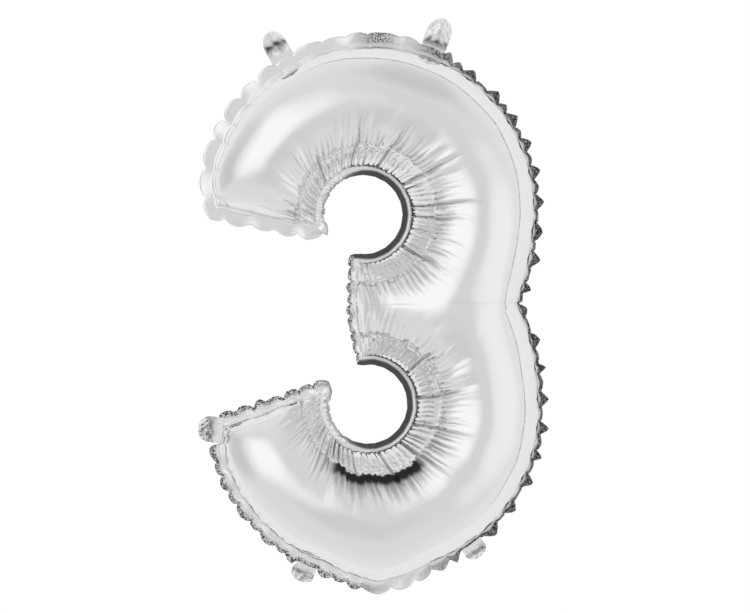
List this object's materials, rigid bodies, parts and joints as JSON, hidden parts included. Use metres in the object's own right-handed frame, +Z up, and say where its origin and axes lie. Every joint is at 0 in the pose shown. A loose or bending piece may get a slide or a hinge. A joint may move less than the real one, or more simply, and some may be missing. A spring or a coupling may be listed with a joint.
{
  "type": "foil number balloon",
  "caption": "Inflated silver foil balloon in the shape of the digit 3, with pleated bays, a crimped welded edge, hanging tabs, a flat filling neck and a film valve inside.",
  "frame": {"origin": "middle of the bounding box, on the weld plane between the two panels", "axes": "+Z up the digit, +X to the digit's right as it is read, -Y out of the front panel"},
  "size_m": [0.216, 0.0736, 0.3502],
  "materials": {
    "front_foil": "mirror-bright metallised film, pleated round the bays",
    "rear_foil": "mirror-bright metallised film, pleated round the bays",
    "tab_foil": "mirror-bright metallised film, crumpled",
    "neck_foil": "mirror-bright metallised film, crumpled, with a fine sealing grain",
    "valve_film": "thin milky polyethylene film"
  },
  "bodies": {
    "envelope": {"front_panel": "front_foil", "rear_panel": "rear_foil"},
    "top_left_tab": {"top_left_hanging_tab": "tab_foil"},
    "top_right_tab": {"top_right_hanging_tab": "tab_foil"},
    "lower_left_tab": {"lower_left_tab": "tab_foil"},
    "lower_right_tab": {"lower_right_tab": "tab_foil"},
    "filling_neck": {"neck_front_layer": "neck_foil", "neck_rear_layer": "neck_foil"},
    "valve_front": {"valve_front_film": "valve_film"},
    "valve_rear": {"valve_rear_film": "valve_film"}
  },
  "joints": [
    {"name": "top_left_tab_fold", "type": "hinge", "parent": "envelope", "child": "top_left_tab", "pos_m": [-0.05668, 0, 0.151], "axis": [0.8572, 0, 0.515], "range_deg": [-90, 90], "stiffness_Nm_per_rad": 0.00005},
    {"name": "top_right_tab_fold", "type": "hinge", "parent": "envelope", "child": "top_right_tab", "pos_m": [0.03642, 0, 0.15825], "axis": [0.9336, 0, -0.3584], "range_deg": [-90, 90], "stiffness_Nm_per_rad": 0.00005},
    {"name": "lower_left_tab_fold", "type": "hinge", "parent": "envelope", "child": "lower_left_tab", "pos_m": [-0.04214, 0, -0.15892], "axis": [-0.9063, 0, 0.4226], "range_deg": [-90, 90], "stiffness_Nm_per_rad": 0.00005},
    {"name": "lower_right_tab_fold", "type": "hinge", "parent": "envelope", "child": "lower_right_tab", "pos_m": [0.05996, 0, -0.14695], "axis": [-0.8192, 0, -0.5736], "range_deg": [-90, 90], "stiffness_Nm_per_rad": 0.00005},
    {"name": "neck_fold", "type": "hinge", "parent": "envelope", "child": "filling_neck", "pos_m": [-0.09427, 0, -0.07571], "axis": [-0.1219, 0, 0.9925], "range_deg": [-90, 90], "stiffness_Nm_per_rad": 0.0001},
    {"name": "valve_front_lip", "type": "hinge", "parent": "envelope", "child": "valve_front", "pos_m": [-0.08177, 0, -0.07671], "axis": [-0.4384, 0, -0.8988], "range_deg": [0, 8], "stiffness_Nm_per_rad": 0.00005},
    {"name": "valve_rear_lip", "type": "hinge", "parent": "envelope", "child": "valve_rear", "pos_m": [-0.08177, 0, -0.07671], "axis": [-0.4384, 0, -0.8988], "range_deg": [-8, 0], "stiffness_Nm_per_rad": 0.00005}
  ],
  "couplings": [
    {"joint": "valve_rear_lip", "follows": "valve_front_lip", "ratio": -1}
  ]
}
